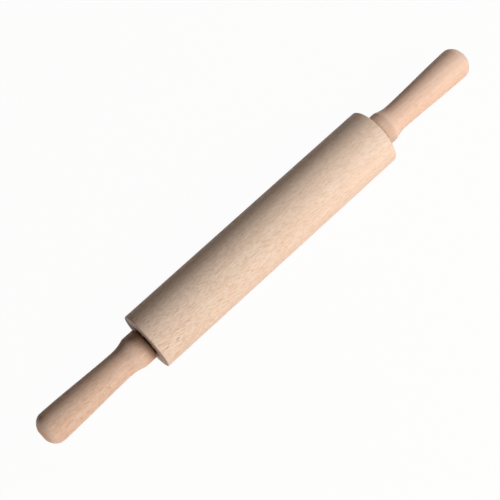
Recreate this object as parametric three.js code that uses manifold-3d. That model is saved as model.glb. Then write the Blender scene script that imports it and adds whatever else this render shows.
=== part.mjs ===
// Dumpling rolling pin: a beech barrel that turns on two ball bearings about a steel axle, with a turned beech
// handle screwed onto each end of the axle.
// Millimetres, +Z up. The axle lies along X, and the origin is on its axis at the middle of the barrel.
import * as THREE from "three";
import { mergeVertices } from "three/addons/utils/BufferGeometryUtils.js";
import Module from "manifold-3d";

// Barrel
const BARREL_DIAMETER = 50;
const BARREL_LENGTH = 246;
const BARREL_EDGE_RADIUS = 1;
const BORE_CLEARANCE = 1.4; // air between the retaining rings and the barrel's bore
const BEARING_INSET = 1; // how far a bearing's face lies below the barrel's end face

// Handles, measured along the axle from the handle's front face
const RUNNING_GAP = 1.2; // air between the barrel's end and the handle
const HANDLE_LENGTH = 102.5;
const COLLAR_DIAMETER = 27.7;
const COLLAR_LENGTH = 11;
const COLLAR_EDGE_RADIUS = 1.4;
const SHOULDER_EASE = 2; // how far the collar's line runs on level as its shoulder starts to fall
const NECK_DIAMETER = 22.9;
const NECK_DISTANCE = 24.5;
const NECK_ARRIVAL = 8.5; // how far the shoulder's curve runs level before it reaches the neck
const NECK_EASE = 15; // how far the neck's curve runs level before it climbs to the grip
const GRIP_DIAMETER = 27.2;
const GRIP_EASE = 19; // how far the grip runs level before its dome
const DOME_LENGTH = 9.8;
const TIP_FLAT_DIAMETER = 8.8;

// Axle, with a thread at each end for the handles
const AXLE_DIAMETER = 8;
const AXLE_ENGAGEMENT = 26; // how far the axle reaches into a handle
const AXLE_CHAMFER = 0.8;
const AXLE_END_CLEARANCE = 1.5; // air between the axle's end and the bottom of the handle's hole
const AXLE_HOLE_CLEARANCE = 0.4; // radial air round the axle in the handle's hole

// Ball bearings
const BALL_DIAMETER = 3.969;
const BALL_COUNT = 7;
const BALL_CLEARANCE = 0.1; // air between a ball and the race grooves
const RACE_WALL = 1.4; // steel left behind a race groove
const RACE_DEPTH = 0.65; // how far the rings' shoulders stand over the bottom of the groove
const RING_CHAMFER = 0.3;
const SHIELD_THICKNESS = 0.35;
const SHIELD_SETBACK = 0.3; // how far a shield lies below the ring's face
const SHIELD_SEAT_STEP = 0.6; // how far the shield's seat is cut back from the outer ring's shoulder
const SHIELD_RUNNING_GAP = 0.25; // air between a shield and the inner ring
const CAGE_RADIAL_CLEARANCE = 0.55; // air between the cage and the rings' shoulders
const CAGE_SIDE_CLEARANCE = 0.27; // air between the cage and a shield
const CAGE_WEB = 0.45; // wall of the cage beside a ball pocket
const POCKET_CLEARANCE = 0.15; // air between a ball and its pocket

// Retaining rings, spacers and threaded inserts
const CLIP_GROOVE_DEPTH = 0.6;
const CLIP_WIDTH = 2.2;
const CLIP_THICKNESS = 0.9;
const CLIP_MOUTH_ANGLE = THREE.MathUtils.degToRad(70);
const SPACER_WALL = 1.6;
const SPACER_CHAMFER = 0.3;
const INSERT_WALL = 1.6;
const INSERT_LENGTH = 20;
const INSERT_FLANGE_DIAMETER = 15;
const INSERT_FLANGE_THICKNESS = 1.2;
const BARB_COUNT = 4;
const BARB_HEIGHT = 0.6;
const BARB_LENGTH = 3;

// Clearances between pieces that sit in one another
const SHAFT_FIT = 0.1; // round the axle, in rings, spacers, inserts and retaining rings
const SEAT_FIT = 0.15; // round a piece that is set in wood
const STACK_GAP = 0.1; // between pieces stacked face to face along the axle
const SHIELD_FIT = 0.1; // round a shield in its seat

// Facets: both counts are multiples of four, so that every turned piece has a flat facing straight down
const WOOD_SIDES = 32;
const HARDWARE_SIDES = 24;
const EDGE_STEPS = 3;
const CURVE_STEPS = 6;
const DOME_STEPS = 4;
const GROOVE_STEPS = 6;
const BALL_SLICES = 10;
const BALL_STACKS = 6;
const CLIP_STEPS = 8;
const MERGE_DISTANCE = 1e-4;

// Places and sizes that follow from the driving dimensions
const axleRadius = AXLE_DIAMETER / 2;
const shaftBoreRadius = axleRadius + SHAFT_FIT;
const ballRadius = BALL_DIAMETER / 2;
const grooveRadius = ballRadius + BALL_CLEARANCE;
const pocketRadius = ballRadius + POCKET_CLEARANCE;
const pitchRadius = shaftBoreRadius + RACE_WALL + grooveRadius;
const bearingRadius = pitchRadius + grooveRadius + RACE_WALL;
const innerShoulderRadius = pitchRadius - grooveRadius + RACE_DEPTH;
const outerShoulderRadius = pitchRadius + grooveRadius - RACE_DEPTH;
const shieldSeatRadius = outerShoulderRadius + SHIELD_SEAT_STEP;
const shieldSeatDepth = SHIELD_SETBACK + SHIELD_THICKNESS + STACK_GAP;
const cageHalfWidth = pocketRadius + CAGE_WEB;
const bearingHalfWidth = cageHalfWidth + CAGE_SIDE_CLEARANCE + SHIELD_THICKNESS + SHIELD_SETBACK;
const barrelEnd = BARREL_LENGTH / 2;
const bearingOutboardFace = barrelEnd - BEARING_INSET;
const bearingCentre = bearingOutboardFace - bearingHalfWidth;
const bearingInboardFace = bearingCentre - bearingHalfWidth;
const handleFront = barrelEnd + RUNNING_GAP;
const clipGrooveRadius = axleRadius - CLIP_GROOVE_DEPTH;
const clipOuterRadius = clipGrooveRadius + SHAFT_FIT + CLIP_WIDTH;
const clipOutboardFace = bearingInboardFace - STACK_GAP;
const insertRadius = shaftBoreRadius + INSERT_WALL;
const barbRadius = insertRadius + BARB_HEIGHT;

const BARREL_BEECH = new THREE.MeshStandardMaterial({ color: "#e5c9ab", roughness: 0.62, metalness: 0 });
const HANDLE_BEECH = new THREE.MeshStandardMaterial({ color: "#d9ae8c", roughness: 0.5, metalness: 0 });
const AXLE_STEEL = new THREE.MeshStandardMaterial({ color: "#b4b8bc", roughness: 0.35, metalness: 1 });
const RACE_STEEL = new THREE.MeshStandardMaterial({ color: "#cfd2d6", roughness: 0.18, metalness: 1 });
const SHIELD_STEEL = new THREE.MeshStandardMaterial({ color: "#a9adb1", roughness: 0.4, metalness: 1 });
const SPRING_STEEL = new THREE.MeshStandardMaterial({ color: "#4a4c50", roughness: 0.45, metalness: 1 });
const INSERT_STEEL = new THREE.MeshStandardMaterial({ color: "#c3bda6", roughness: 0.38, metalness: 1 });
const CAGE_NYLON = new THREE.MeshStandardMaterial({ color: "#e4dfcf", roughness: 0.6, metalness: 0 });

const wasm = await Module();
wasm.setup();

/** A closed geometry as a solid that can be cut. */
function solidOf(geometry) {
  const bare = geometry.clone();
  bare.deleteAttribute("normal");
  bare.deleteAttribute("uv");
  const merged = mergeVertices(bare, MERGE_DISTANCE);
  const vertProperties = merged.attributes.position.array;
  const triVerts = new Uint32Array(merged.index.array);
  return new wasm.Manifold(new wasm.Mesh({ numProp: 3, vertProperties, triVerts }));
}

/** A cut solid as a geometry. */
function geometryOf(solid) {
  const { vertProperties, triVerts } = solid.getMesh();
  const geometry = new THREE.BufferGeometry();
  geometry.setAttribute("position", new THREE.BufferAttribute(vertProperties, 3));
  geometry.setIndex(new THREE.BufferAttribute(triVerts, 1));
  geometry.computeVertexNormals();
  return geometry;
}

/**
 * A piece turned about the axle. The outline holds points whose x is the place along the axle and whose y is the
 * radius; it runs outboard along the outside. The flats of the turned piece lie at the outline's radius.
 */
function turned(outline, sides) {
  const cornerReach = 1 / Math.cos(Math.PI / sides);
  const profile = outline.map((point) => new THREE.Vector2(point.y * cornerReach, point.x));
  const geometry = new THREE.LatheGeometry(profile, sides, Math.PI / sides);
  geometry.rotateZ(-Math.PI / 2);
  return geometry;
}

/** Outline points from pairs of place along the axle and radius. */
function outlineOf(pairs) {
  return pairs.map(([along, radius]) => new THREE.Vector2(along, radius));
}

/** The outline of a plain ring between two places along the axle, with chamfered outer edges. */
function ringOutline(start, end, innerRadius, outerRadius, chamfer) {
  return outlineOf([
    [start, innerRadius],
    [start, outerRadius - chamfer],
    [start + chamfer, outerRadius],
    [end - chamfer, outerRadius],
    [end, outerRadius - chamfer],
    [end, innerRadius],
    [start, innerRadius],
  ]);
}

/** The points of a race groove's arc, from one angle about the ball's centre to another. */
function groovePoints(fromAngle, toAngle) {
  const points = [];
  for (let step = 0; step <= GROOVE_STEPS; step += 1) {
    const angle = THREE.MathUtils.lerp(fromAngle, toAngle, step / GROOVE_STEPS);
    const along = bearingCentre + grooveRadius * Math.cos(angle);
    points.push(new THREE.Vector2(along, pitchRadius + grooveRadius * Math.sin(angle)));
  }
  return points;
}

function barrelGeometry() {
  const radius = BARREL_DIAMETER / 2;
  const edge = BARREL_EDGE_RADIUS;
  const seatRadius = bearingRadius + SEAT_FIT;
  const seatFloor = bearingInboardFace - STACK_GAP;
  const boreRadius = clipOuterRadius + BORE_CLEARANCE;
  const outline = new THREE.Path();
  outline.moveTo(-barrelEnd, seatRadius);
  outline.lineTo(-barrelEnd, radius - edge);
  outline.absarc(-barrelEnd + edge, radius - edge, edge, Math.PI, Math.PI / 2, true);
  outline.lineTo(barrelEnd - edge, radius);
  outline.absarc(barrelEnd - edge, radius - edge, edge, Math.PI / 2, 0, true);
  outline.lineTo(barrelEnd, seatRadius);
  outline.lineTo(seatFloor, seatRadius);
  outline.lineTo(seatFloor, boreRadius);
  outline.lineTo(-seatFloor, boreRadius);
  outline.lineTo(-seatFloor, seatRadius);
  outline.lineTo(-barrelEnd, seatRadius);
  return turned(outline.getPoints(EDGE_STEPS), WOOD_SIDES);
}

/** The handle's hole, from its bottom on the axis out to the front face: axle hole, insert bore, flange recess. */
function handleHoleOutline() {
  const holeRadius = axleRadius + AXLE_HOLE_CLEARANCE;
  const holeBottom = handleFront + AXLE_ENGAGEMENT + AXLE_END_CLEARANCE;
  const insertBoreBottom = handleFront + INSERT_LENGTH + STACK_GAP;
  const recessFloor = handleFront + INSERT_FLANGE_THICKNESS + STACK_GAP;
  const insertBoreRadius = barbRadius + SEAT_FIT;
  const recessRadius = INSERT_FLANGE_DIAMETER / 2 + SEAT_FIT;
  return outlineOf([
    [holeBottom, 0],
    [holeBottom, holeRadius],
    [insertBoreBottom, holeRadius],
    [insertBoreBottom, insertBoreRadius],
    [recessFloor, insertBoreRadius],
    [recessFloor, recessRadius],
    [handleFront, recessRadius],
  ]);
}

/** The handle's outside, from the edge of its front face to the middle of its tip. */
function handleOutsideOutline() {
  const collarRadius = COLLAR_DIAMETER / 2;
  const neckRadius = NECK_DIAMETER / 2;
  const gripRadius = GRIP_DIAMETER / 2;
  const tipRadius = TIP_FLAT_DIAMETER / 2;
  const edge = COLLAR_EDGE_RADIUS;
  const collarEnd = handleFront + COLLAR_LENGTH;
  const neck = handleFront + NECK_DISTANCE;
  const tip = handleFront + HANDLE_LENGTH;
  const domeStart = tip - DOME_LENGTH;
  const tipAngle = Math.asin(tipRadius / gripRadius);
  const domeReach = DOME_LENGTH / Math.cos(tipAngle);

  const edgeArc = new THREE.Path();
  edgeArc.absarc(handleFront + edge, collarRadius - edge, edge, Math.PI, Math.PI / 2, true);
  const body = new THREE.Path();
  body.moveTo(collarEnd, collarRadius);
  const shoulderTurn = collarEnd + SHOULDER_EASE;
  body.bezierCurveTo(shoulderTurn, collarRadius, neck - NECK_ARRIVAL, neckRadius, neck, neckRadius);
  body.bezierCurveTo(neck + NECK_EASE, neckRadius, domeStart - GRIP_EASE, gripRadius, domeStart, gripRadius);
  const dome = new THREE.Path();
  dome.absellipse(domeStart, 0, domeReach, gripRadius, Math.PI / 2, tipAngle, true);
  const domePoints = dome.getPoints(DOME_STEPS).slice(1);
  return [
    ...edgeArc.getPoints(EDGE_STEPS),
    ...body.getPoints(CURVE_STEPS),
    ...domePoints,
    new THREE.Vector2(tip, 0),
  ];
}

function handleGeometry() {
  return turned([...handleHoleOutline(), ...handleOutsideOutline()], WOOD_SIDES);
}

function axleGeometry() {
  const end = handleFront + AXLE_ENGAGEMENT;
  const grooveOutboard = clipOutboardFace + STACK_GAP;
  const grooveInboard = clipOutboardFace - CLIP_THICKNESS - STACK_GAP;
  const rightHalf = [
    [grooveInboard, axleRadius],
    [grooveInboard, clipGrooveRadius],
    [grooveOutboard, clipGrooveRadius],
    [grooveOutboard, axleRadius],
    [end - AXLE_CHAMFER, axleRadius],
    [end, axleRadius - AXLE_CHAMFER],
    [end, 0],
  ];
  const leftHalf = rightHalf.map(([along, radius]) => [-along, radius]).reverse();
  return turned(outlineOf([...leftHalf, ...rightHalf]), HARDWARE_SIDES);
}

function bearingOuterRingGeometry() {
  const inboard = bearingInboardFace;
  const outboard = bearingOutboardFace;
  const shoulderAngle = Math.asin((outerShoulderRadius - pitchRadius) / grooveRadius);
  const outline = [
    ...outlineOf([
      [inboard, shieldSeatRadius],
      [inboard, bearingRadius - RING_CHAMFER],
      [inboard + RING_CHAMFER, bearingRadius],
      [outboard - RING_CHAMFER, bearingRadius],
      [outboard, bearingRadius - RING_CHAMFER],
      [outboard, shieldSeatRadius],
      [outboard - shieldSeatDepth, shieldSeatRadius],
      [outboard - shieldSeatDepth, outerShoulderRadius],
    ]),
    ...groovePoints(shoulderAngle, Math.PI - shoulderAngle),
    ...outlineOf([
      [inboard + shieldSeatDepth, outerShoulderRadius],
      [inboard + shieldSeatDepth, shieldSeatRadius],
      [inboard, shieldSeatRadius],
    ]),
  ];
  return turned(outline, HARDWARE_SIDES);
}

function bearingInnerRingGeometry() {
  const shoulderAngle = Math.asin((pitchRadius - innerShoulderRadius) / grooveRadius);
  const outline = [
    ...outlineOf([
      [bearingInboardFace, shaftBoreRadius],
      [bearingInboardFace, innerShoulderRadius],
    ]),
    ...groovePoints(Math.PI + shoulderAngle, 2 * Math.PI - shoulderAngle),
    ...outlineOf([
      [bearingOutboardFace, innerShoulderRadius],
      [bearingOutboardFace, shaftBoreRadius],
      [bearingInboardFace, shaftBoreRadius],
    ]),
  ];
  return turned(outline, HARDWARE_SIDES);
}

/** A shield, a thin ring just below one face of the bearing. side is 1 outboard and -1 inboard. */
function bearingShieldGeometry(side) {
  const middle = bearingCentre + side * (bearingHalfWidth - SHIELD_SETBACK - SHIELD_THICKNESS / 2);
  const innerRadius = innerShoulderRadius + SHIELD_RUNNING_GAP;
  const outerRadius = shieldSeatRadius - SHIELD_FIT;
  const half = SHIELD_THICKNESS / 2;
  return turned(ringOutline(middle - half, middle + half, innerRadius, outerRadius, 0), HARDWARE_SIDES);
}

/** The centre of one ball, counted round the bearing from the top. */
function ballCentre(index) {
  const angle = (2 * Math.PI * index) / BALL_COUNT;
  return new THREE.Vector3(bearingCentre, pitchRadius * Math.sin(angle), pitchRadius * Math.cos(angle));
}

function bearingCageGeometry() {
  const innerRadius = innerShoulderRadius + CAGE_RADIAL_CLEARANCE;
  const outerRadius = outerShoulderRadius - CAGE_RADIAL_CLEARANCE;
  const start = bearingCentre - cageHalfWidth;
  const end = bearingCentre + cageHalfWidth;
  let cage = solidOf(turned(ringOutline(start, end, innerRadius, outerRadius, 0), HARDWARE_SIDES));
  for (let index = 0; index < BALL_COUNT; index += 1) {
    const pocket = new THREE.SphereGeometry(pocketRadius, BALL_SLICES, BALL_STACKS);
    const centre = ballCentre(index);
    pocket.translate(centre.x, centre.y, centre.z);
    cage = cage.subtract(solidOf(pocket));
  }
  return geometryOf(cage);
}

function ballGeometry(index) {
  const ball = new THREE.SphereGeometry(ballRadius, BALL_SLICES, BALL_STACKS);
  const centre = ballCentre(index);
  ball.translate(centre.x, centre.y, centre.z);
  return ball;
}

/** An open retaining ring in the axle's groove, with its mouth upwards. */
function clipGeometry() {
  const from = CLIP_MOUTH_ANGLE / 2;
  const to = 2 * Math.PI - CLIP_MOUTH_ANGLE / 2;
  const section = new THREE.Shape();
  section.absarc(0, 0, clipOuterRadius, from, to, false);
  section.absarc(0, 0, clipGrooveRadius + SHAFT_FIT, to, from, true);
  const options = { depth: CLIP_THICKNESS, bevelEnabled: false, curveSegments: CLIP_STEPS };
  const clip = new THREE.ExtrudeGeometry(section, options);
  clip.rotateZ(Math.PI);
  clip.rotateY(Math.PI / 2);
  clip.translate(clipOutboardFace - CLIP_THICKNESS, 0, 0);
  return clip;
}

function spacerGeometry() {
  const start = bearingOutboardFace + STACK_GAP;
  const end = handleFront - STACK_GAP;
  const outerRadius = shaftBoreRadius + SPACER_WALL;
  return turned(ringOutline(start, end, shaftBoreRadius, outerRadius, SPACER_CHAMFER), HARDWARE_SIDES);
}

/** A threaded insert: a flange flush with the handle's front, and a sleeve with barbs that hold in the wood. */
function insertGeometry() {
  const flangeRadius = INSERT_FLANGE_DIAMETER / 2;
  const flangeBack = handleFront + INSERT_FLANGE_THICKNESS;
  const end = handleFront + INSERT_LENGTH;
  const firstBarb = end - BARB_COUNT * BARB_LENGTH;
  const outline = [
    [handleFront, shaftBoreRadius],
    [handleFront, flangeRadius],
    [flangeBack, flangeRadius],
    [flangeBack, insertRadius],
  ];
  for (let barb = 0; barb < BARB_COUNT; barb += 1) {
    const root = firstBarb + barb * BARB_LENGTH;
    outline.push([root, insertRadius], [root, barbRadius]);
  }
  outline.push([end, insertRadius], [end, shaftBoreRadius], [handleFront, shaftBoreRadius]);
  return turned(outlineOf(outline), HARDWARE_SIDES);
}

function addPiece(group, name, geometry, material) {
  const piece = new THREE.Mesh(geometry, material);
  piece.name = name;
  group.add(piece);
}

/** Everything at one end of the pin: the bearing, its retaining ring and spacer, the insert and the handle. */
function endGroup(side) {
  const group = new THREE.Group();
  addPiece(group, `${side}_handle`, handleGeometry(), HANDLE_BEECH);
  addPiece(group, `${side}_handle_insert`, insertGeometry(), INSERT_STEEL);
  addPiece(group, `${side}_spacer`, spacerGeometry(), AXLE_STEEL);
  addPiece(group, `${side}_retaining_ring`, clipGeometry(), SPRING_STEEL);
  addPiece(group, `${side}_bearing_outer_ring`, bearingOuterRingGeometry(), RACE_STEEL);
  addPiece(group, `${side}_bearing_inner_ring`, bearingInnerRingGeometry(), RACE_STEEL);
  addPiece(group, `${side}_bearing_outboard_shield`, bearingShieldGeometry(1), SHIELD_STEEL);
  addPiece(group, `${side}_bearing_inboard_shield`, bearingShieldGeometry(-1), SHIELD_STEEL);
  addPiece(group, `${side}_bearing_cage`, bearingCageGeometry(), CAGE_NYLON);
  for (let index = 0; index < BALL_COUNT; index += 1) {
    addPiece(group, `${side}_bearing_ball_${index + 1}`, ballGeometry(index), RACE_STEEL);
  }
  return group;
}

const rollingPin = new THREE.Group();
addPiece(rollingPin, "barrel", barrelGeometry(), BARREL_BEECH);
addPiece(rollingPin, "axle", axleGeometry(), AXLE_STEEL);
rollingPin.add(endGroup("right"));
const leftEnd = endGroup("left");
leftEnd.rotation.z = Math.PI;
rollingPin.add(leftEnd);

export default rollingPin;
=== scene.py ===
"""Dumpling rolling pin: a beech barrel that turns on two ball bearings, with a turned handle at each end.

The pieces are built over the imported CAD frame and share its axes: the axle lies along X, +Z is up, and the
origin is on the axle at the middle of the barrel. Lengths in this file are in millimetres and the angles in
its fields are in degrees. Finished meshes are in metres.
"""

import logging
import math
from collections.abc import Iterable, Mapping, Sequence
from dataclasses import dataclass
from enum import Enum

import bmesh
import bpy
from mathutils import Color, Matrix, Quaternion, Vector

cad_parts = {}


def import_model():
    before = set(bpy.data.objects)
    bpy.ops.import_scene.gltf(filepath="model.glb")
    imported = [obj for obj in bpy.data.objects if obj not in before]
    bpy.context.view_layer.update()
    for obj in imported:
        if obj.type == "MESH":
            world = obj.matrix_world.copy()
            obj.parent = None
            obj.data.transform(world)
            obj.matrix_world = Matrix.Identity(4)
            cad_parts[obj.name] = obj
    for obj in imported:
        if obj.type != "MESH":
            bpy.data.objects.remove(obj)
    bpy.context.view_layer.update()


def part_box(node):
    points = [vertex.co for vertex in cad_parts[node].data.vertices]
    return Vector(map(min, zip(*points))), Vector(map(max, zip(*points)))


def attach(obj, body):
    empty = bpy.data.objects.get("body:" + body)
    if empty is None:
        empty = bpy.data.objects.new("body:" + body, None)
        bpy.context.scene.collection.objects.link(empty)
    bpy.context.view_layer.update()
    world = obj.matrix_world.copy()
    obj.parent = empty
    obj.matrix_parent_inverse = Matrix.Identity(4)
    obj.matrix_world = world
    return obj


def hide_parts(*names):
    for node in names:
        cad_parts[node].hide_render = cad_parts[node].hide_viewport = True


LOG = logging.getLogger("rolling_pin")
MILLIMETRE = 0.001
FULL_TURN = 2.0 * math.pi
AXIS = (0.0, 0.0)  # the axle, seen along it
WHITE = (1.0, 1.0, 1.0, 1.0)
SHARP_ANGLE = math.radians(28.0)  # edges that turn by more than this stay crisp
NOISE_MIDDLE = 0.5  # the value that noise stays around
NOISE_ROUGHNESS = 0.55  # how strong each finer layer of noise is beside the one before
STROKE_CORE = 0.35  # the share of a stroke's or dash's reach that has its full strength
MIX_SHARE, MIX_FIRST, MIX_SECOND, MIX_RESULT = 0, 6, 7, 2  # places of a Mix node's sockets for colours

BMesh = bmesh.types.BMesh
Point = tuple[float, float]
Span = tuple[float, float]  # where a smooth step starts, and where it reaches one
Triple = tuple[float, float, float]
Colour = tuple[float, float, float, float]  # linear red, green and blue, and alpha


class Direction(Enum):
    """A way along X, by its sign."""

    @property
    def word(self) -> str:
        """The direction's name, as the CAD nodes spell it."""
        return self.name.lower()


class Side(Direction):
    """An end of the pin."""

    LEFT = -1
    RIGHT = 1

    @property
    def turn(self) -> float:
        """How far a piece made for the right end turns about Z to come to this one, in radians."""
        return 0.0 if self is Side.RIGHT else math.pi


class Face(Direction):
    """A face of the bearing at the right end."""

    OUTBOARD = 1
    INBOARD = -1


class Body(Enum):
    """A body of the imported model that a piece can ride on."""

    HANDLES_AND_AXLE = "handles_and_axle"
    BARREL = "barrel"
    LEFT_BALL_CAGE = "left_ball_cage"
    RIGHT_BALL_CAGE = "right_ball_cage"


class Slot(Enum):
    """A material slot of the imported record."""

    BARREL_BEECH = "barrel_beech"
    HANDLE_BEECH = "handle_beech"
    AXLE_STEEL = "axle_steel"
    RACE_STEEL = "race_steel"
    SHIELD_STEEL = "shield_steel"
    SPRING_STEEL = "spring_steel"
    INSERT_STEEL = "insert_steel"
    CAGE_NYLON = "cage_nylon"


def colour_of(hexadecimal: str) -> Colour:
    """Turns a screen colour, six hexadecimal digits, into the linear colour that shaders use."""
    screen = Color([byte / 255.0 for byte in bytes.fromhex(hexadecimal)])
    return (*screen.from_srgb_to_scene_linear(), 1.0)


class Value:
    """An output socket that Python expressions can do sums with; each operator adds a Math node."""

    def __init__(self, graph: "ShaderGraph", socket: bpy.types.NodeSocket) -> None:
        """Wraps one socket of a graph."""
        self.graph = graph
        self.socket = socket

    def __add__(self, other: "Value | float") -> "Value":
        """This value plus another."""
        return self.graph.math("ADD", self, other)

    def __radd__(self, other: float) -> "Value":
        """A number plus this value."""
        return self.graph.math("ADD", other, self)

    def __sub__(self, other: "Value | float") -> "Value":
        """This value less another."""
        return self.graph.math("SUBTRACT", self, other)

    def __rsub__(self, other: float) -> "Value":
        """A number less this value."""
        return self.graph.math("SUBTRACT", other, self)

    def __mul__(self, other: "Value | float") -> "Value":
        """This value times another."""
        return self.graph.math("MULTIPLY", self, other)

    def __rmul__(self, other: float) -> "Value":
        """A number times this value."""
        return self.graph.math("MULTIPLY", other, self)

    def __truediv__(self, other: "Value | float") -> "Value":
        """This value over another."""
        return self.graph.math("DIVIDE", self, other)

    def __rtruediv__(self, other: float) -> "Value":
        """A number over this value."""
        return self.graph.math("DIVIDE", other, self)

    def __pow__(self, power: float) -> "Value":
        """This value to a power."""
        return self.graph.math("POWER", self, power)

    def __abs__(self) -> "Value":
        """This value without its sign."""
        return self.graph.math("ABSOLUTE", self)


SocketValue = Value | float | Sequence[float]
Settings = Mapping[str, object]
Sockets = Mapping[str | int, SocketValue]


class ShaderGraph:
    """The nodes of one material or world."""

    def __init__(self, tree: bpy.types.NodeTree) -> None:
        """Empties a node tree and takes it over."""
        tree.nodes.clear()
        self.tree = tree

    def node(self, kind: str, settings: Settings, sockets: Sockets) -> bpy.types.Node:
        """Adds a node.

        Args:
            kind: The node's type.
            settings: The node's own properties, which are set first.
            sockets: Numbers, colours, vectors or links for its inputs, by name or place.

        Returns:
            The new node.
        """
        made = self.tree.nodes.new(kind)
        for name, setting in settings.items():
            setattr(made, name, setting)
        for name, value in sockets.items():
            if isinstance(value, Value):
                self.tree.links.new(value.socket, made.inputs[name])
            else:
                made.inputs[name].default_value = value
        return made

    def value(self, kind: str, settings: Settings, sockets: Sockets, output: str | int = 0) -> Value:
        """Adds a node and wraps one of its outputs, given by name or place."""
        return Value(self, self.node(kind, settings, sockets).outputs[output])

    def math(self, operation: str, first: Value | float, second: Value | float = 0.0) -> Value:
        """Adds a Math node on one or two numbers or links."""
        return self.value("ShaderNodeMath", {"operation": operation}, {0: first, 1: second})

    def vector_math(self, operation: str, first: SocketValue, second: SocketValue) -> Value:
        """Adds a Vector Math node on two vectors or links."""
        return self.value("ShaderNodeVectorMath", {"operation": operation}, {0: first, 1: second})

    def vector(self, x: SocketValue, y: SocketValue, z: SocketValue) -> Value:
        """Joins three numbers or links into a vector."""
        return self.value("ShaderNodeCombineXYZ", {}, {"X": x, "Y": y, "Z": z})

    def axes(self, vector: Value) -> tuple[Value, Value, Value]:
        """Splits a vector into its three parts."""
        parts = self.node("ShaderNodeSeparateXYZ", {}, {"Vector": vector}).outputs
        return Value(self, parts["X"]), Value(self, parts["Y"]), Value(self, parts["Z"])

    def place(self) -> Value:
        """The place on the piece in millimetres, in the CAD frame at rest."""
        metres = self.value("ShaderNodeTexCoord", {}, {}, "Object")
        return self.vector_math("DIVIDE", metres, (MILLIMETRE, MILLIMETRE, MILLIMETRE))

    def facing(self) -> Value:
        """The surface's own direction, in the CAD frame at rest."""
        return self.value("ShaderNodeTexCoord", {}, {}, "Normal")

    def diagonal(self, first: Value, second: Value) -> Value:
        """The square root of the sum of two values' squares."""
        return (first * first + second * second) ** 0.5

    def noise(self, place: Value, cell: Sequence[float], detail: float = 2.0) -> Value:
        """Adds smooth noise.

        Args:
            place: Where on the piece, in millimetres.
            cell: How long, wide and high the noise's patches are, in millimetres.
            detail: How many finer layers the noise has.

        Returns:
            The noise, from nothing to one.
        """
        scaled = self.vector_math("DIVIDE", place, cell)
        sockets = {"Vector": scaled, "Scale": 1.0, "Detail": detail, "Roughness": NOISE_ROUGHNESS}
        return self.value("ShaderNodeTexNoise", {"noise_dimensions": "3D"}, sockets)

    def dashes(self, place: Value, cell: Sequence[float], reach: float, share: float) -> Value:
        """Scatters soft-edged dashes with the proportions of their cells, at most one in each cell.

        Args:
            place: Where on the piece, in millimetres.
            cell: The cells' length, width and height, in millimetres.
            reach: A dash's half length as a share of the cell's length.
            share: The share of cells that hold a dash.

        Returns:
            One in the middle of a dash, and nothing between the dashes.
        """
        scaled = self.vector_math("DIVIDE", place, cell)
        cells = self.node("ShaderNodeTexVoronoi", {"feature": "F1"}, {"Vector": scaled, "Scale": 1.0})
        chance = self.axes(Value(self, cells.outputs["Color"]))[0]
        held = self.math("LESS_THAN", chance, share)
        return held * self.between(Value(self, cells.outputs["Distance"]), reach, reach * STROKE_CORE)

    def between(self, value: Value, start: float, end: float) -> Value:
        """A smooth step from nothing, where the value is at start, to one, where it is at end."""
        sockets = {"Value": value, "From Min": start, "From Max": end}
        return self.value("ShaderNodeMapRange", {"interpolation_type": "SMOOTHSTEP"}, sockets)

    def blend(self, share: Value, first: SocketValue, second: SocketValue) -> Value:
        """Mixes a share of a second colour or link into a first one."""
        sockets = {MIX_SHARE: share, MIX_FIRST: first, MIX_SECOND: second}
        return self.value("ShaderNodeMix", {"data_type": "RGBA"}, sockets, MIX_RESULT)

    def bump(self, height: Value, depth: float) -> Value:
        """The normal over a relief, in which a height of one is depth millimetres."""
        sockets = {"Height": height, "Strength": 1.0, "Distance": depth * MILLIMETRE}
        return self.value("ShaderNodeBump", {}, sockets)

    def seen_directly(self) -> Value:
        """Tells rays that show the background from rays that light the pin.

        Returns:
            One for a ray from the camera, a mirror or a lens, and nothing for others.
        """
        path = self.node("ShaderNodeLightPath", {}, {}).outputs
        names = ("Is Camera Ray", "Is Glossy Ray", "Is Transmission Ray")
        camera, glossy, transmission = [Value(self, path[name]) for name in names]
        return self.math("MAXIMUM", camera, self.math("MAXIMUM", glossy, transmission))

    def surface(self, sockets: Sockets) -> None:
        """Adds the Principled shader, with what its inputs hold, and the output."""
        shader = self.value("ShaderNodeBsdfPrincipled", {}, sockets)
        self.node("ShaderNodeOutputMaterial", {}, {"Surface": shader})


@dataclass(frozen=True)
class Finish:
    """The finish of one material slot."""

    slot: Slot

    def material(self) -> bpy.types.Material:
        """Makes the finish's material when it is first asked for.

        Returns:
            The material.
        """
        name = f"{self.slot.value}_finish"
        made = bpy.data.materials.get(name)
        if made is None:
            made = bpy.data.materials.new(name)
            made.use_nodes = True
            self.shade(ShaderGraph(made.node_tree))
        return made

    def shade(self, graph: ShaderGraph) -> None:
        """Adds the finish's nodes to an empty graph."""
        raise NotImplementedError


@dataclass(frozen=True)
class SoftLayer:
    """Soft variation in a material: smooth noise, in wood drawn out along the fibres."""

    cell: Triple
    low: float
    high: float
    strength: float = 1.0
    detail: float = 2.0

    def amount(self, graph: ShaderGraph, place: Value) -> Value:
        """From nothing to the layer's strength, at a place in the material."""
        noise = graph.noise(place, self.cell, self.detail)
        return graph.between(noise, self.low, self.high) * self.strength


@dataclass(frozen=True)
class DashLayer:
    """Short dashes scattered through the wood along the fibres, at most one in each cell."""

    cell: Triple
    reach: float
    share: float
    strength: float

    def amount(self, graph: ShaderGraph, grain: Value) -> Value:
        """The layer's strength in the middle of a dash, and nothing between the dashes."""
        return graph.dashes(grain, self.cell, self.reach, self.share) * self.strength


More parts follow.
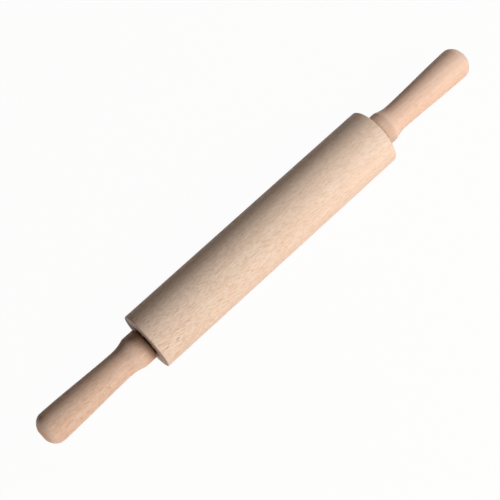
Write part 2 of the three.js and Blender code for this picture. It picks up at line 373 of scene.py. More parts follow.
@dataclass(frozen=True)
class Mark:
    """A dark stroke along the axle in the barrel's surface, turned from the top towards the viewer."""

    along: float
    angle: float
    length: float
    width: float
    strength: float
    radius: float = 25.0

    def amount(self, graph: ShaderGraph, along: Value, angle: Value) -> Value:
        """Draws the stroke.

        Args:
            graph: The graph to add to.
            along: The place along the axle.
            angle: The angle round the axle from the top towards the viewer, in radians.

        Returns:
            The stroke's strength in its middle, and nothing outside it.
        """
        lengthwise = (along - self.along) * (2.0 / self.length)
        crosswise = (angle - math.radians(self.angle)) * (2.0 * self.radius / self.width)
        reach = graph.diagonal(lengthwise, crosswise)
        return graph.between(reach, 1.0, STROKE_CORE) * self.strength


@dataclass(frozen=True)
class Grime:
    """Painted shade that darkens the wood more and more between two distances, by the running gap."""

    start: float
    end: float
    strength: float

    def amount(self, graph: ShaderGraph, distance: Value) -> Value:
        """From nothing at the start distance to the painted shade's strength at the end distance."""
        return graph.between(distance, self.start, self.end) * self.strength


@dataclass(frozen=True)
class BeechFinish(Finish):
    """Bare sanded beech: growth rings round a pith beside the piece, fibres, ray flecks and pores.

    The figure fades along the axle from left to right. Painted shade darkens the wood towards the running
    gap, from a distance along the axle from its middle and from a distance from the axle round the bearing.
    """

    cream: Colour
    blush: Colour
    latewood: Colour
    # the flecks' colour, which is also the tint of the painted shade by the running gap
    fleck_and_shade: Colour
    end_grain: Colour
    worn: Colour
    pith: Point
    skew: Point
    ring_spacing: float
    ring_strength: float
    bands: SoftLayer
    streaks: SoftLayer
    fibres: SoftLayer
    flecks: DashLayer
    pores: DashLayer
    # painted shade by the running gap, by distance along the axle from the middle
    grime: Grime
    # painted shade round the bearing, by distance from the axle
    grease: Grime | None = None
    marks: tuple[Mark, ...] = ()
    fading: float = 0.002
    wander_length: float = 130.0
    wander_width: float = 3.0
    ring_cell: Triple = (90.0, 25.0, 9.0)
    ring_wobble: float = 5.0
    ring_rise: Span = (0.35, 0.92)
    ring_fall: Span = (1.0, 0.95)
    end_facing: Span = (0.7, 0.95)
    end_share: float = 0.8
    rounding_start: Span = (0.1, 0.4)
    rounding_end: Span = (0.95, 0.6)
    worn_share: float = 0.4
    roughness: float = 0.42
    fibre_roughness: float = 0.2
    pore_roughness: float = 0.5
    end_roughness: float = 0.12
    gloss: float = 0.12
    relief: float = 0.02

    def shade(self, graph: ShaderGraph) -> None:
        """Adds the beech's nodes to an empty graph."""
        grain = self.grain_place(graph)
        along, across, up = graph.axes(graph.place())
        boldness = 1.0 - along * self.fading
        streaks = self.streaks.amount(graph, grain) * boldness
        fibres = self.fibres.amount(graph, grain) * boldness
        flecks = self.flecks.amount(graph, grain) * boldness
        pores = self.pores.amount(graph, grain)
        angle = graph.math("ARCTAN2", across * -1.0, up)
        strokes = [mark.amount(graph, along, angle) for mark in self.marks]
        endwise = abs(graph.axes(graph.facing())[0])
        ends = graph.between(endwise, *self.end_facing)
        rounding = graph.between(endwise, *self.rounding_start) * graph.between(endwise, *self.rounding_end)

        layers = [
            (self.bands.amount(graph, grain), self.blush),
            (self.latewood_lines(graph, grain), self.latewood),
            (streaks, self.latewood),
            (fibres, self.latewood),
            (flecks, self.fleck_and_shade),
            (pores, self.fleck_and_shade),
            *((stroke, self.fleck_and_shade) for stroke in strokes),
            (rounding * self.worn_share, self.worn),
            (ends * self.end_share, self.end_grain),
            # painted shade, darker towards the running gap
            (self.grime.amount(graph, abs(along)), self.fleck_and_shade),
        ]
        # painted shade, darker close to the axle round the bearing
        if self.grease is not None:
            layers.append((self.grease.amount(graph, graph.diagonal(across, up)), self.fleck_and_shade))
        colour = self.cream
        for share, tint in layers:
            colour = graph.blend(share, colour, tint)

        roughness = self.roughness + fibres * self.fibre_roughness + pores * self.pore_roughness
        graph.surface(
            {
                "Base Color": colour,
                "Roughness": roughness + ends * self.end_roughness,
                "Normal": graph.bump(fibres - flecks - pores, self.relief),
                "Specular IOR Level": self.gloss,
            }
        )

    def grain_place(self, graph: ShaderGraph) -> Value:
        """Works out where a point lies in the tree that the piece was cut from.

        Args:
            graph: The graph to add to.

        Returns:
            The place along the fibres, round the growth rings and out from the pith, in millimetres.
        """
        along, across, up = graph.axes(graph.place())
        bend = graph.noise(graph.vector(along, 0.0, 0.0), (self.wander_length, 1.0, 1.0), 1.0)
        wander = (bend - NOISE_MIDDLE) * self.wander_width
        beside = across + along * self.skew[0] + wander - self.pith[0]
        above = up + along * self.skew[1] - self.pith[1]
        round_pith = graph.math("ARCTAN2", above, beside) * math.hypot(*self.pith)
        return graph.vector(along, round_pith, graph.diagonal(beside, above))

    def latewood_lines(self, graph: ShaderGraph, grain: Value) -> Value:
        """Draws the growth rings' darker lines.

        Args:
            graph: The graph to add to.
            grain: The place in the tree.

        Returns:
            The rings' strength at the end of each year's growth, falling to nothing in the next.
        """
        out = graph.axes(grain)[2]
        uneven = graph.noise(grain, self.ring_cell) * self.ring_wobble
        year = graph.math("FRACT", (out + uneven) / self.ring_spacing)
        lines = graph.between(year, *self.ring_rise) * graph.between(year, *self.ring_fall)
        return lines * self.ring_strength


@dataclass(frozen=True)
class SteelFinish(Finish):
    """Turned or pressed steel: fine tool marks round the axle, with duller and brighter patches."""

    bright: Colour
    dull: Colour
    roughness: float
    mark_width: float
    mark_depth: float
    mark_detail: float = 3.0
    mark_roughness: float = 0.2
    patches: SoftLayer = SoftLayer(cell=(4.0, 4.0, 4.0), low=0.4, high=0.65)
    patch_roughness: float = 0.1

    def shade(self, graph: ShaderGraph) -> None:
        """Adds the steel's nodes to an empty graph."""
        place = graph.place()
        along, across, up = graph.axes(place)
        turned_place = graph.vector(along, graph.diagonal(across, up), 0.0)
        marks = graph.noise(turned_place, (self.mark_width, self.mark_width, 1.0), self.mark_detail)
        patches = self.patches.amount(graph, place)
        roughness = self.roughness + (marks - NOISE_MIDDLE) * self.mark_roughness
        graph.surface(
            {
                "Base Color": graph.blend(patches, self.bright, self.dull),
                "Metallic": 1.0,
                "Roughness": roughness + patches * self.patch_roughness,
                "Normal": graph.bump(marks, self.mark_depth),
            }
        )


@dataclass(frozen=True)
class NylonFinish(Finish):
    """Moulded nylon with faint flow marks and a skin of grease."""

    pale: Colour
    shaded: Colour
    roughness: float
    flow: SoftLayer = SoftLayer(cell=(1.2, 3.0, 3.0), low=0.35, high=0.7, detail=3.0)
    # grease on the cage, which changes only the roughness and the coat
    grease: SoftLayer = SoftLayer(cell=(2.5, 2.5, 2.5), low=0.45, high=0.6)
    grease_polish: float = 0.3
    grease_coat: float = 0.4
    skin_cell: Triple = (0.15, 0.15, 0.15)
    skin_roughness: float = 0.05
    skin_depth: float = 0.01

    def shade(self, graph: ShaderGraph) -> None:
        """Adds the nylon's nodes to an empty graph."""
        place = graph.place()
        grease = self.grease.amount(graph, place)
        skin = graph.noise(place, self.skin_cell)
        graph.surface(
            {
                "Base Color": graph.blend(self.flow.amount(graph, place), self.pale, self.shaded),
                "Roughness": self.roughness - grease * self.grease_polish + skin * self.skin_roughness,
                "Coat Weight": grease * self.grease_coat,
                "Normal": graph.bump(skin, self.skin_depth),
            }
        )


BARREL_BEECH = BeechFinish(
    Slot.BARREL_BEECH,
    cream=colour_of("fae1cc"),
    blush=colour_of("f4d6be"),
    latewood=colour_of("dcb594"),
    fleck_and_shade=colour_of("8f6a4a"),
    end_grain=colour_of("a7908c"),
    worn=colour_of("fdeadb"),
    pith=(34.0, -48.0),
    skew=(0.11, 0.075),
    ring_spacing=3.1,
    ring_strength=0.12,
    bands=SoftLayer(cell=(150.0, 14.0, 5.0), low=0.34, high=0.66, strength=0.6),
    streaks=SoftLayer(cell=(22.0, 1.2, 1.2), low=0.36, high=0.68, strength=0.14, detail=3.0),
    fibres=SoftLayer(cell=(5.0, 0.7, 0.7), low=0.44, high=0.62, strength=0.44),
    flecks=DashLayer(cell=(5.5, 0.7, 14.0), reach=0.34, share=0.8, strength=0.24),
    pores=DashLayer(cell=(1.3, 0.22, 0.22), reach=0.4, share=0.5, strength=0.08),
    # painted shade on the barrel's ends, which face the running gap
    grime=Grime(start=121.6, end=122.8, strength=0.15),
    # painted shade round the bearing seat, deep in the running gap
    grease=Grime(start=17.5, end=14.0, strength=1.0),
    marks=(
        Mark(along=-106.1, angle=47.5, length=5.0, width=1.0, strength=0.85),
        Mark(along=-107.3, angle=51.3, length=4.6, width=0.9, strength=0.6),
        Mark(along=-104.5, angle=43.5, length=3.0, width=0.8, strength=0.25),
        Mark(along=-116.5, angle=46.9, length=5.0, width=1.0, strength=0.55),
        Mark(along=-120.6, angle=47.3, length=6.0, width=0.8, strength=0.3),
        Mark(along=-121.2, angle=43.7, length=4.0, width=0.8, strength=0.25),
        Mark(along=-113.5, angle=76.0, length=12.0, width=2.0, strength=0.2),
    ),
)
HANDLE_BEECH = BeechFinish(
    Slot.HANDLE_BEECH,
    cream=colour_of("f5d4bd"),
    blush=colour_of("f0cab0"),
    latewood=colour_of("d6a583"),
    fleck_and_shade=colour_of("8a5f40"),
    end_grain=colour_of("d7af94"),
    worn=colour_of("f8dcc8"),
    pith=(-40.0, -22.0),
    skew=(0.03, -0.04),
    ring_spacing=2.6,
    ring_strength=0.1,
    bands=SoftLayer(cell=(150.0, 14.0, 5.0), low=0.34, high=0.66, strength=0.8),
    streaks=SoftLayer(cell=(36.0, 1.4, 1.4), low=0.36, high=0.68, strength=0.16, detail=3.0),
    fibres=SoftLayer(cell=(5.0, 0.7, 0.7), low=0.46, high=0.66, strength=0.35),
    flecks=DashLayer(cell=(7.0, 0.5, 9.0), reach=0.4, share=0.6, strength=0.13),
    pores=DashLayer(cell=(1.3, 0.22, 0.22), reach=0.4, share=0.5, strength=0.06),
    # painted shadow that the barrel's end casts on the collar's front
    grime=Grime(start=129.6, end=125.2, strength=0.77),
)
AXLE_STEEL = SteelFinish(
    Slot.AXLE_STEEL,
    bright=colour_of("4c4d50"),
    dull=colour_of("333437"),
    roughness=0.45,
    mark_width=0.12,
    mark_depth=0.004,
)
RACE_STEEL = SteelFinish(
    Slot.RACE_STEEL,
    bright=colour_of("dcdfe2"),
    dull=colour_of("c0c4c9"),
    roughness=0.16,
    mark_width=0.06,
    mark_depth=0.001,
)
SHIELD_STEEL = SteelFinish(
    Slot.SHIELD_STEEL,
    bright=colour_of("6a6c70"),
    dull=colour_of("4c4e52"),
    roughness=0.5,
    mark_width=0.2,
    mark_depth=0.003,
)
SPRING_STEEL = SteelFinish(
    Slot.SPRING_STEEL,
    bright=colour_of("55575c"),
    dull=colour_of("3b3c40"),
    roughness=0.45,
    mark_width=0.1,
    mark_depth=0.003,
)
INSERT_STEEL = SteelFinish(
    Slot.INSERT_STEEL,
    bright=colour_of("d2ccb4"),
    dull=colour_of("b3ac92"),
    roughness=0.42,
    mark_width=0.15,
    mark_depth=0.004,
)
CAGE_NYLON = NylonFinish(
    Slot.CAGE_NYLON,
    pale=colour_of("ece7d8"),
    shaded=colour_of("d8d2be"),
    roughness=0.6,
)


def line_points(start: Point, end: Point, steps: int) -> list[Point]:
    """Splits a straight line into steps, with both ends included."""
    shares = [step / steps for step in range(steps + 1)]
    return [(start[0] + (end[0] - start[0]) * s, start[1] + (end[1] - start[1]) * s) for s in shares]


def arc_points(centre: Point, radii: Point, start: float, end: float, steps: int) -> list[Point]:
    """Splits an ellipse's arc between two angles in degrees into steps, with both ends included."""
    angles = [math.radians(start + (end - start) * step / steps) for step in range(steps + 1)]
    return [(centre[0] + radii[0] * math.cos(a), centre[1] + radii[1] * math.sin(a)) for a in angles]


def curve_points(start: Point, leaving: float, arriving: float, end: Point, steps: int) -> list[Point]:
    """Splits a smooth curve that leaves and arrives level with the axle.

    Args:
        start: Its first point.
        leaving: How far it runs level after its first point.
        arriving: How far it runs level before its last point.
        end: Its last point.
        steps: How many parts to split it into.

    Returns:
        The points from start to end, both included.
    """
    alongs = (start[0], start[0] + leaving, end[0] - arriving, end[0])
    radii = (start[1], start[1], end[1], end[1])
    points = []
    for step in range(steps + 1):
        s = step / steps
        weights = ((1 - s) ** 3, 3 * s * (1 - s) ** 2, 3 * s * s * (1 - s), s**3)
        along = sum(w * a for w, a in zip(weights, alongs))
        points.append((along, sum(w * r for w, r in zip(weights, radii))))
    return points


@dataclass(frozen=True)
class Thread:
    """A screw thread cut into a turned piece, between two distances from the middle of the barrel."""

    start: float
    end: float
    pitch: float = 1.25
    depth: float = 0.62
    runout: float = 1.5
    widest: float = 4.2
    rows_per_pitch: int = 8

    def rows(self, length: float) -> int:
        """How many rows of points a threaded length needs."""
        return round(length / self.pitch * self.rows_per_pitch)

    def cut(self, along: float, radius: float, angle: float) -> float:
        """Works out how deep the thread cuts.

        Args:
            along: The place along the axle.
            radius: The radius of the uncut surface; one wider than the thread is left whole.
            angle: The angle round the axle.

        Returns:
            The depth below the uncut surface.
        """
        distance = abs(along)
        inside = min(distance - self.start, self.end - distance)
        if inside <= 0.0 or radius > self.widest:
            return 0.0
        turn = (along / self.pitch - angle / FULL_TURN) % 1.0
        return self.depth * abs(2.0 * turn - 1.0) * min(1.0, inside / self.runout)


AXLE_THREAD = Thread(start=124.6, end=150.4)  # on both ends of the axle and in the inserts


def object_of(name: str, shape: BMesh, side: Side = Side.RIGHT) -> bpy.types.Object:
    """Turns a finished shape into an object of the scene, smooth except at its sharp edges.

    Args:
        name: The object's name.
        shape: The shape in millimetres, made for the right end, which is used up.
        side: The end that the object goes to.

    Returns:
        The object, in metres.
    """
    shape.normal_update()
    bmesh.ops.recalc_face_normals(shape, faces=shape.faces)
    shape.transform(Matrix.Rotation(side.turn, 4, "Z"))
    shape.transform(Matrix.Scale(MILLIMETRE, 4))
    mesh = bpy.data.meshes.new(name)
    shape.to_mesh(mesh)
    shape.free()
    mesh.shade_smooth()
    mesh.set_sharp_from_angle(angle=SHARP_ANGLE)
    made = bpy.data.objects.new(name, mesh)
    bpy.context.scene.collection.objects.link(made)
    return made


def turned(outline: Sequence[Point], sides: int, thread: Thread | None = None) -> BMesh:
    """Turns an outline about the axle.

    Args:
        outline: Places along the axle with their radii. One that doesn't start on the axis is closed.
        sides: How many sides the turned shape has.
        thread: A thread to cut where the outline passes through it.

    Returns:
        The closed shape, in millimetres.
    """
    shape = bmesh.new()
    rings = []
    for along, radius in outline:
        if radius == 0.0:
            rings.append([shape.verts.new((along, 0.0, 0.0))] * sides)
            continue
        ring = []
        for step in range(sides):
            angle = FULL_TURN * step / sides
            reach = radius - (thread.cut(along, radius, angle) if thread else 0.0)
            ring.append(shape.verts.new((along, reach * math.sin(angle), reach * math.cos(angle))))
        rings.append(ring)
    if outline[0][1] > 0.0:
        rings.append(rings[0])
    for first, second in zip(rings, rings[1:]):
        for step in range(sides):
            after = (step + 1) % sides
            corners = dict.fromkeys((first[step], first[after], second[after], second[step]))
            shape.faces.new(corners.keys())
    return shape


@dataclass(frozen=True)
class PlainRing:
    """A ring round the axle between two places and two radii, with chamfered edges."""

    start: float
    end: float
    inner: float
    outer: float
    edge: float

    def outline(self) -> list[Point]:
        """Draws the ring's outline.

        Returns:
            The outside from start to end, and the inside back.
        """
        return [
            (self.start, self.inner + self.edge),
            (self.start, self.outer - self.edge),
            (self.start + self.edge, self.outer),
            (self.end - self.edge, self.outer),
            (self.end, self.outer - self.edge),
            (self.end, self.inner + self.edge),
            (self.end - self.edge, self.inner),
            (self.start + self.edge, self.inner),
        ]


def fit_piece(piece: bpy.types.Object, node: str, body: Body, finish: Finish) -> None:
    """Dresses a piece, puts it on its body in place of its CAD node, and reports it.

    Args:
        piece: The piece.
        node: The CAD node that it stands for.
        body: The body that it rides on.
        finish: Its finish.
    """
    piece.data.materials.append(finish.material())
    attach(piece, body.value)
    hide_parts(node)
    low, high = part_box(node)
    grown = max(max(low[i] - c[i], c[i] - high[i]) for c in piece.bound_box for i in range(3))
    LOG.info("%s stands for %s on %s, within %.2f mm", piece.name, node, body.value, grown / MILLIMETRE)


def fit_end_piece(shape: BMesh, side: Side, name: str, node: str, body: Body, finish: Finish) -> None:
    """Fits a shape made for the right end at its own end; both names come without their side."""
    piece = object_of(f"{side.word}_{name}", shape, side)
    fit_piece(piece, f"{side.word}_{node}", body, finish)


@dataclass(frozen=True)
class Barrel:
    """The beech barrel, with a bearing seat in each end and a bore for the axle."""

    length: float = 246.0
    diameter: float = 50.0
    edge_radius: float = 1.0
    seat_radius: float = 11.219
    seat_floor: float = 114.891
    bore_radius: float = 7.1
    sides: int = 128
    rows: int = 40
    edge_steps: int = 6

    def build(self) -> None:
        """Builds the barrel and puts it on its body."""
        shape = turned(self.outline(), self.sides)
        fit_piece(object_of("beech_barrel", shape), "barrel", Body.BARREL, BARREL_BEECH)

    def outline(self) -> list[Point]:
        """Draws the barrel's outline.

        Returns:
            The outside from left to right, and the seats and the bore back to the left.
        """
        end = self.length / 2.0
        radius = self.diameter / 2.0
        edge = self.edge_radius
        corner = (edge, edge)
        left_edge = arc_points((-end + edge, radius - edge), corner, 180.0, 90.0, self.edge_steps)
        right_edge = arc_points((end - edge, radius - edge), corner, 90.0, 0.0, self.edge_steps)
        side = line_points(left_edge[-1], right_edge[0], self.rows)
        return [
            *left_edge,
            *side[1:-1],
            *right_edge,
            (end, self.seat_radius),
            (self.seat_floor, self.seat_radius),
            (self.seat_floor, self.bore_radius),
            (-self.seat_floor, self.bore_radius),
            (-self.seat_floor, self.seat_radius),
            (-end, self.seat_radius),
        ]


@dataclass(frozen=True)
class Axle:
    """The steel axle, with a groove for each retaining ring and a thread at each end."""

    radius: float = 4.0
    half_length: float = 150.2
    chamfer: float = 0.8
    groove_inboard: float = 113.891
    groove_outboard: float = 114.991
    groove_radius: float = 3.4
    sides: int = 40

    def build(self) -> None:
        """Builds the axle and puts it on its body."""
        shape = turned(self.outline(), self.sides, AXLE_THREAD)
        fit_piece(object_of("steel_axle", shape), "axle", Body.HANDLES_AND_AXLE, AXLE_STEEL)

    def outline(self) -> list[Point]:
        """Draws the axle's outline from its left end to its right end.

        Returns:
            The outline, which starts and ends on the axis.
        """
        thread_start = AXLE_THREAD.start
        shank_end = self.half_length - self.chamfer
        rows = AXLE_THREAD.rows(shank_end - thread_start)
        right = [
            (self.groove_inboard, self.radius),
            (self.groove_inboard, self.groove_radius),
            (self.groove_outboard, self.groove_radius),
            (self.groove_outboard, self.radius),
            *line_points((thread_start, self.radius), (shank_end, self.radius), rows),
            (self.half_length, self.radius - self.chamfer),
            (self.half_length, 0.0),
        ]
        left = [(-along, radius) for along, radius in reversed(right)]
        return [*left, *right]


@dataclass(frozen=True)
class Handle:
    """A turned beech handle with the threaded insert that the axle screws into."""

    side: Side
    front: float = 124.2
    length: float = 102.5
    collar_radius: float = 13.85
    collar_length: float = 11.0
    collar_edge: float = 1.4
    shoulder_ease: float = 2.0
    neck_arrival: float = 8.5
    neck_radius: float = 11.45
    neck_distance: float = 24.5
    neck_ease: float = 15.0
    grip_arrival: float = 19.0
    grip_radius: float = 13.6
    dome_length: float = 9.8
    tip_radius: float = 4.4
    hole_radius: float = 4.4
    hole_depth: float = 27.5
    insert_bore_radius: float = 6.45
    insert_length: float = 20.0
    insert_radius: float = 5.7
    flange_radius: float = 7.5
    flange_thickness: float = 1.2
    seat_fit: float = 0.15
    stack_gap: float = 0.1
    barb_count: int = 4
    barb_length: float = 3.0
    barb_height: float = 0.6
    insert_bore: float = 4.1
    sides: int = 96
    insert_sides: int = 40
    edge_steps: int = 8
    shoulder_steps: int = 20
    grip_steps: int = 24
    dome_steps: int = 20

    def build(self) -> None:
        """Builds the handle and its insert and puts them on their body."""
        body = Body.HANDLES_AND_AXLE
        wood = turned([*self.hole(), *self.outside()], self.sides)
        fit_end_piece(wood, self.side, "beech_handle", "handle", body, HANDLE_BEECH)
        steel = turned(self.insert_outline(), self.insert_sides, AXLE_THREAD)
        fit_end_piece(steel, self.side, "threaded_insert", "handle_insert", body, INSERT_STEEL)

    def hole(self) -> list[Point]:
        """Draws the handle's hole, from its bottom on the axis out to the front face.

        Returns:
            The axle hole, the insert's bore and the flange's recess.
        """
        bottom = self.front + self.hole_depth
        bore_bottom = self.front + self.insert_length + self.stack_gap
        recess_floor = self.front + self.flange_thickness + self.stack_gap
        recess_radius = self.flange_radius + self.seat_fit
        return [
            (bottom, 0.0),
            (bottom, self.hole_radius),
            (bore_bottom, self.hole_radius),
            (bore_bottom, self.insert_bore_radius),
            (recess_floor, self.insert_bore_radius),
            (recess_floor, recess_radius),
            (self.front, recess_radius),
        ]

    def outside(self) -> list[Point]:
        """Draws the handle's outside, from the edge of its front face to the middle of its tip.

        Returns:
            The collar's edge, the collar, the neck, the grip and the dome with its flat tip.
        """
        edge = self.collar_edge
        edge_centre = (self.front + edge, self.collar_radius - edge)
        collar_end = (self.front + self.collar_length, self.collar_radius)
        neck = (self.front + self.neck_distance, self.neck_radius)
        tip = self.front + self.length
        grip = (tip - self.dome_length, self.grip_radius)
        tip_angle = math.degrees(math.asin(self.tip_radius / self.grip_radius))
        dome = (self.dome_length / math.cos(math.radians(tip_angle)), self.grip_radius)
        return [
            *arc_points(edge_centre, (edge, edge), 180.0, 90.0, self.edge_steps),
            *curve_points(collar_end, self.shoulder_ease, self.neck_arrival, neck, self.shoulder_steps),
            *curve_points(neck, self.neck_ease, self.grip_arrival, grip, self.grip_steps)[1:],
            *arc_points((grip[0], 0.0), dome, 90.0, tip_angle, self.dome_steps)[1:],
            (tip, 0.0),
        ]

    def insert_outline(self) -> list[Point]:
        """Draws the threaded insert: a flange flush with the front face, and a sleeve with barbs.

        Returns:
            The flange, the barbs from front to back, and the bore back to the front.
        """
        flange_back = self.front + self.flange_thickness
        end = self.front + self.insert_length
        first_barb = end - self.barb_count * self.barb_length
        points = [
            (self.front, self.insert_bore),
            (self.front, self.flange_radius),
            (flange_back, self.flange_radius),
            (flange_back, self.insert_radius),
        ]
        for barb in range(self.barb_count):
            root = first_barb + barb * self.barb_length
            points += [(root, self.insert_radius), (root, self.insert_radius + self.barb_height)]
        rows = AXLE_THREAD.rows(self.insert_length)
        bore = line_points((end, self.insert_bore), (self.front, self.insert_bore), rows)
        return [*points, (end, self.insert_radius), *bore[:-1]]


@dataclass(frozen=True)
class AxleFittings:
    """The spacer and the retaining ring that hold one bearing on the axle."""

    side: Side
    spacer: PlainRing = PlainRing(start=122.1, end=124.1, inner=4.1, outer=5.7, edge=0.3)
    ring_face: float = 114.891
    ring_thickness: float = 0.9
    ring_inner: float = 3.5
    ring_outer: float = 5.7
    mouth: float = 70.0
    eye_radius: float = 0.55
    spacer_sides: int = 64
    ring_steps: int = 48
    eye_steps: int = 16

    def build(self) -> None:
        """Builds the spacer and the retaining ring and puts them on their body."""
        body = Body.HANDLES_AND_AXLE
        sleeve = turned(self.spacer.outline(), self.spacer_sides)
        fit_end_piece(sleeve, self.side, "steel_spacer", "spacer", body, AXLE_STEEL)
        ring = self.ring_shape()
        fit_end_piece(ring, self.side, "spring_ring", "retaining_ring", body, SPRING_STEEL)

    def ring_shape(self) -> BMesh:
        """Builds the retaining ring: an open ring with a rounded eye at each side of its mouth.

        Returns:
            The closed shape, in millimetres.
        """
        middle = (self.ring_inner + self.ring_outer) / 2.0
        half_width = (self.ring_outer - self.ring_inner) / 2.0
        first = self.mouth / 2.0 + math.degrees(half_width / middle)
        last = 360.0 - first
        eyes = self.bend(AXIS, middle, first, last, 1)
        outer = self.bend(AXIS, self.ring_outer, first, last, self.ring_steps)
        far_end = self.bend(eyes[1], half_width, last, last + 180.0, self.eye_steps)
        inner = self.bend(AXIS, self.ring_inner, last, first, self.ring_steps)
        near_end = self.bend(eyes[0], half_width, first + 180.0, first + 360.0, self.eye_steps)
        loops = [[*outer, *far_end[1:-1], *inner, *near_end[1:-1]]]
        loops += [self.bend(eye, self.eye_radius, 0.0, 360.0, self.eye_steps)[:-1] for eye in eyes]

        shape = bmesh.new()
        back = self.ring_face - self.ring_thickness
        edges = []
        for loop in loops:
            corners = [shape.verts.new((back, y, z)) for y, z in loop]
            edges += [shape.edges.new(pair) for pair in zip(corners, corners[1:] + corners[:1])]
        bmesh.ops.triangle_fill(shape, edges=edges, use_beauty=True)
        grown = bmesh.ops.extrude_face_region(shape, geom=list(shape.faces))["geom"]
        moved = [part for part in grown if isinstance(part, bmesh.types.BMVert)]
        bmesh.ops.translate(shape, verts=moved, vec=(self.ring_thickness, 0.0, 0.0))
        return shape

    def bend(self, centre: Point, radius: float, start: float, end: float, steps: int) -> list[Point]:
        """Splits an arc across the axle between two angles from straight up, with both ends included."""
        return arc_points(centre, (radius, radius), 90.0 - start, 90.0 - end, steps)


@dataclass(frozen=True)
class BallBearing:
    """A shielded ball bearing: two rings, two shields, a cage and its balls.

    The shield's profile gives places as shares of its width, each with how much of the step it dips by.
    """

    side: Side
    centre: float = 118.4955
    half_width: float = 3.5045
    bore_radius: float = 4.1
    outer_radius: float = 11.069
    ring_edge: float = 0.3
    groove_radius: float = 2.0845
    pitch_radius: float = 7.5845
    inner_shoulder: float = 6.15
    outer_shoulder: float = 9.019
    seat_radius: float = 9.619
    seat_depth: float = 0.75
    shield_setback: float = 0.3
    shield_thickness: float = 0.35
    shield_gap: float = 0.25
    shield_fit: float = 0.1
    shield_step: float = 0.1
    shield_profile: tuple[Point, ...] = (
        (0.0, 0.0),
        (0.55, 0.0),
        (0.7, 1.0),
        (0.82, 1.0),
        (0.92, 0.0),
        (1.0, 0.0),
    )
    cage_half_width: float = 2.5845
    cage_clearance: float = 0.55
    cage_edge: float = 0.12
    ball_radius: float = 1.9845
    pocket_radius: float = 2.1345
    ball_count: int = 7
    ring_sides: int = 72
    cage_sides: int = 144
    groove_steps: int = 20
    subdivisions: int = 4

    def build(self) -> None:
        """Builds the bearing's pieces and puts them on their bodies."""
        side = self.side.word
        races = (
            ("outer", Body.BARREL, self.outer_outline()),
            ("inner", Body.HANDLES_AND_AXLE, self.inner_outline()),
        )
        for word, body, outline in races:
            shape = turned(outline, self.ring_sides)
            fit_end_piece(shape, self.side, f"{word}_race", f"bearing_{word}_ring", body, RACE_STEEL)
        for face in Face:
            shape = turned(self.shield_outline(face), self.ring_sides)
            name = f"{face.word}_dust_shield"
            fit_end_piece(shape, self.side, name, f"bearing_{face.word}_shield", Body.BARREL, SHIELD_STEEL)
        cage_body = Body(f"{side}_ball_cage")
        fit_piece(self.cage(), f"{side}_bearing_cage", cage_body, CAGE_NYLON)
        for number in range(1, self.ball_count + 1):
            shape = self.spheres([number - 1], self.ball_radius)
            name = f"steel_ball_{number}"
            fit_end_piece(shape, self.side, name, f"bearing_ball_{number}", cage_body, RACE_STEEL)

    def groove(self, shoulder: float, start: float, end: float) -> list[Point]:
        """Draws a race's groove.

        Args:
            shoulder: The radius of the ring's shoulder.
            start: The angle straight across the groove that the arc starts from, in degrees.
            end: The angle that the arc ends at, in degrees.

        Returns:
            The groove's points, from shoulder to shoulder.
        """
        lean = math.degrees(math.asin(abs(shoulder - self.pitch_radius) / self.groove_radius))
        centre = (self.centre, self.pitch_radius)
        radii = (self.groove_radius, self.groove_radius)
        return arc_points(centre, radii, start + lean, end - lean, self.groove_steps)

    def outer_outline(self) -> list[Point]:
        """Draws the outer ring, with its groove and the seats of the shields.

        Returns:
            The outside from the inboard face to the outboard one, and the inside back.
        """
        inboard = self.centre - self.half_width
        outboard = self.centre + self.half_width
        return [
            (inboard, self.seat_radius),
            (inboard, self.outer_radius - self.ring_edge),
            (inboard + self.ring_edge, self.outer_radius),
            (outboard - self.ring_edge, self.outer_radius),
            (outboard, self.outer_radius - self.ring_edge),
            (outboard, self.seat_radius),
            (outboard - self.seat_depth, self.seat_radius),
            (outboard - self.seat_depth, self.outer_shoulder),
            *self.groove(self.outer_shoulder, 0.0, 180.0),
            (inboard + self.seat_depth, self.outer_shoulder),
            (inboard + self.seat_depth, self.seat_radius),
        ]

    def inner_outline(self) -> list[Point]:
        """Draws the inner ring with its groove.

        Returns:
            The outside from the inboard face to the outboard one, and the bore back.
        """
        inboard = self.centre - self.half_width
        outboard = self.centre + self.half_width
        edge = self.ring_edge
        return [
            (inboard, self.bore_radius + edge),
            (inboard, self.inner_shoulder),
            *self.groove(self.inner_shoulder, 180.0, 360.0),
            (outboard, self.inner_shoulder),
            (outboard, self.bore_radius + edge),
            (outboard - edge, self.bore_radius),
            (inboard + edge, self.bore_radius),
        ]

    def shield_outline(self, face: Face) -> list[Point]:
        """Draws a pressed shield, which steps inwards round its middle.

        Args:
            face: The face of the bearing that it closes.

        Returns:
            The shield's outer surface from inside to outside, and its inner surface back.
        """
        outside = self.half_width - self.shield_setback
        inner = self.inner_shoulder + self.shield_gap
        width = self.seat_radius - self.shield_fit - inner
        profile = self.shield_profile
        front = [(outside - self.shield_step * dip, inner + width * share) for share, dip in profile]
        back = [(along - self.shield_thickness, radius) for along, radius in reversed(front)]
        return [(self.centre + face.value * along, radius) for along, radius in [*front, *back]]

    def spheres(self, indices: Iterable[int], radius: float) -> BMesh:
        """Builds a sphere round the middle of each of some balls.

        Args:
            indices: Which balls, counted from the top.
            radius: The spheres' radius.

        Returns:
            The closed shapes, in millimetres.
        """
        shape = bmesh.new()
        for index in indices:
            angle = FULL_TURN * index / self.ball_count
            across = self.pitch_radius * math.sin(angle)
            up = self.pitch_radius * math.cos(angle)
            place = Matrix.Translation((self.centre, across, up))
            bmesh.ops.create_icosphere(shape, subdivisions=self.subdivisions, radius=radius, matrix=place)
        return shape

